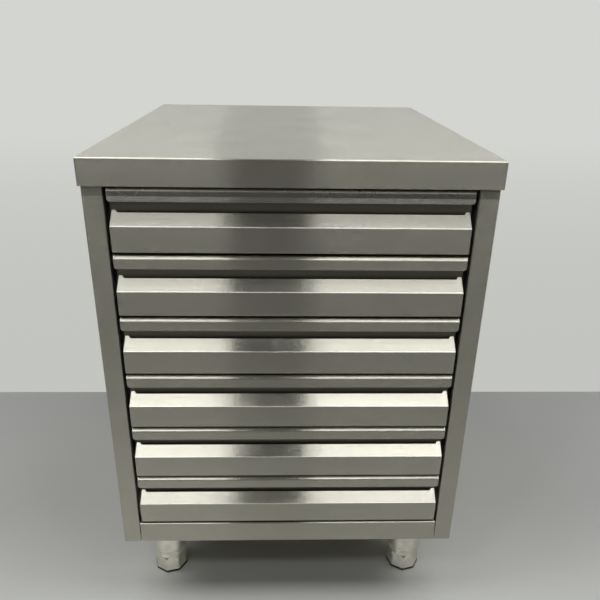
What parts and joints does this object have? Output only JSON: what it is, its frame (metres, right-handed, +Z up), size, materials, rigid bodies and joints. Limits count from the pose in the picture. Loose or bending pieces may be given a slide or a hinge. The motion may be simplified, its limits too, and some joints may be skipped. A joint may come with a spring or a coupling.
{
  "type": "drawer cabinet",
  "caption": "Free-standing stainless steel cabinet with a column of full-width drawers on telescopic runners, folded finger grips, and short tube legs with adjustable feet.",
  "frame": {"origin": "on the floor, under the middle of the worktop", "axes": "+Z up, +X to the right as seen from the front; the drawer fronts face -Y and the drawers pull out along -Y"},
  "size_m": [0.6, 0.7, 0.85],
  "materials": {
    "satin_steel": "satin brushed stainless sheet, grain along the sheet",
    "front_steel": "brushed stainless sheet, grain from side to side",
    "box_steel": "plain rolled stainless sheet",
    "inner_steel": "plain rolled stainless sheet",
    "runner_steel": "bright zinc-plated steel strip",
    "tube_steel": "polished stainless tube",
    "foot_steel": "polished stainless",
    "bolt_steel": "stainless fastener",
    "black_plastic": "moulded black plastic",
    "board": "moisture-resistant particle board"
  },
  "bodies": {
    "root": {"worktop": "satin_steel", "side_panel_left": "satin_steel", "side_panel_right": "satin_steel", "back_panel": "satin_steel", "base_panel": "satin_steel", "front_rail": "satin_steel", "worktop_core": "board", "cross_rail_front": "inner_steel", "cross_rail_rear": "inner_steel", "front_uprights": "inner_steel", "rear_uprights": "inner_steel", "fixed_runner_1": "runner_steel", "fixed_runner_2": "runner_steel", "fixed_runner_3": "runner_steel", "fixed_runner_4": "runner_steel", "fixed_runner_5": "runner_steel", "fixed_runner_6": "runner_steel", "front_legs": "tube_steel", "rear_legs": "tube_steel", "leg_nuts": "bolt_steel"},
    "drawer_1": {"drawer_grip_1": "front_steel", "drawer_face_1": "front_steel", "drawer_box_1": "box_steel", "drawer_runner_1": "runner_steel"},
    "middle_1": {"middle_runner_1": "runner_steel"},
    "drawer_2": {"drawer_grip_2": "front_steel", "drawer_face_2": "front_steel", "drawer_box_2": "box_steel", "drawer_runner_2": "runner_steel"},
    "middle_2": {"middle_runner_2": "runner_steel"},
    "drawer_3": {"drawer_grip_3": "front_steel", "drawer_face_3": "front_steel", "drawer_box_3": "box_steel", "drawer_runner_3": "runner_steel"},
    "middle_3": {"middle_runner_3": "runner_steel"},
    "drawer_4": {"drawer_grip_4": "front_steel", "drawer_face_4": "front_steel", "drawer_box_4": "box_steel", "drawer_runner_4": "runner_steel"},
    "middle_4": {"middle_runner_4": "runner_steel"},
    "drawer_5": {"drawer_grip_5": "front_steel", "drawer_face_5": "front_steel", "drawer_box_5": "box_steel", "drawer_runner_5": "runner_steel"},
    "middle_5": {"middle_runner_5": "runner_steel"},
    "drawer_6": {"drawer_grip_6": "front_steel", "drawer_face_6": "front_steel", "drawer_box_6": "box_steel", "drawer_runner_6": "runner_steel"},
    "middle_6": {"middle_runner_6": "runner_steel"},
    "foot_front_left_screw": {"foot_front_left": "foot_steel", "foot_pad_front_left": "black_plastic"},
    "foot_front_right_screw": {"foot_front_right": "foot_steel", "foot_pad_front_right": "black_plastic"},
    "foot_rear_left_screw": {"foot_rear_left": "foot_steel", "foot_pad_rear_left": "black_plastic"},
    "foot_rear_right_screw": {"foot_rear_right": "foot_steel", "foot_pad_rear_right": "black_plastic"}
  },
  "joints": [
    {"name": "drawer_1_slide", "type": "slide", "parent": "root", "child": "drawer_1", "axis": [0, -1, 0], "range_m": [0, 0.55]},
    {"name": "middle_1_slide", "type": "slide", "parent": "root", "child": "middle_1", "axis": [0, -1, 0], "range_m": [0, 0.275]},
    {"name": "drawer_2_slide", "type": "slide", "parent": "root", "child": "drawer_2", "axis": [0, -1, 0], "range_m": [0, 0.55]},
    {"name": "middle_2_slide", "type": "slide", "parent": "root", "child": "middle_2", "axis": [0, -1, 0], "range_m": [0, 0.275]},
    {"name": "drawer_3_slide", "type": "slide", "parent": "root", "child": "drawer_3", "axis": [0, -1, 0], "range_m": [0, 0.55]},
    {"name": "middle_3_slide", "type": "slide", "parent": "root", "child": "middle_3", "axis": [0, -1, 0], "range_m": [0, 0.275]},
    {"name": "drawer_4_slide", "type": "slide", "parent": "root", "child": "drawer_4", "axis": [0, -1, 0], "range_m": [0, 0.55]},
    {"name": "middle_4_slide", "type": "slide", "parent": "root", "child": "middle_4", "axis": [0, -1, 0], "range_m": [0, 0.275]},
    {"name": "drawer_5_slide", "type": "slide", "parent": "root", "child": "drawer_5", "axis": [0, -1, 0], "range_m": [0, 0.55]},
    {"name": "middle_5_slide", "type": "slide", "parent": "root", "child": "middle_5", "axis": [0, -1, 0], "range_m": [0, 0.275]},
    {"name": "drawer_6_slide", "type": "slide", "parent": "root", "child": "drawer_6", "axis": [0, -1, 0], "range_m": [0, 0.55]},
    {"name": "middle_6_slide", "type": "slide", "parent": "root", "child": "middle_6", "axis": [0, -1, 0], "range_m": [0, 0.275]},
    {"name": "foot_front_left_height", "type": "slide", "parent": "root", "child": "foot_front_left_screw", "axis": [0, 0, -1], "range_m": [0, 0.03]},
    {"name": "foot_front_right_height", "type": "slide", "parent": "root", "child": "foot_front_right_screw", "axis": [0, 0, -1], "range_m": [0, 0.03]},
    {"name": "foot_rear_left_height", "type": "slide", "parent": "root", "child": "foot_rear_left_screw", "axis": [0, 0, -1], "range_m": [0, 0.03]},
    {"name": "foot_rear_right_height", "type": "slide", "parent": "root", "child": "foot_rear_right_screw", "axis": [0, 0, -1], "range_m": [0, 0.03]}
  ],
  "couplings": [
    {"joint": "middle_1_slide", "follows": "drawer_1_slide", "ratio": 0.5},
    {"joint": "middle_2_slide", "follows": "drawer_2_slide", "ratio": 0.5},
    {"joint": "middle_3_slide", "follows": "drawer_3_slide", "ratio": 0.5},
    {"joint": "middle_4_slide", "follows": "drawer_4_slide", "ratio": 0.5},
    {"joint": "middle_5_slide", "follows": "drawer_5_slide", "ratio": 0.5},
    {"joint": "middle_6_slide", "follows": "drawer_6_slide", "ratio": 0.5}
  ]
}
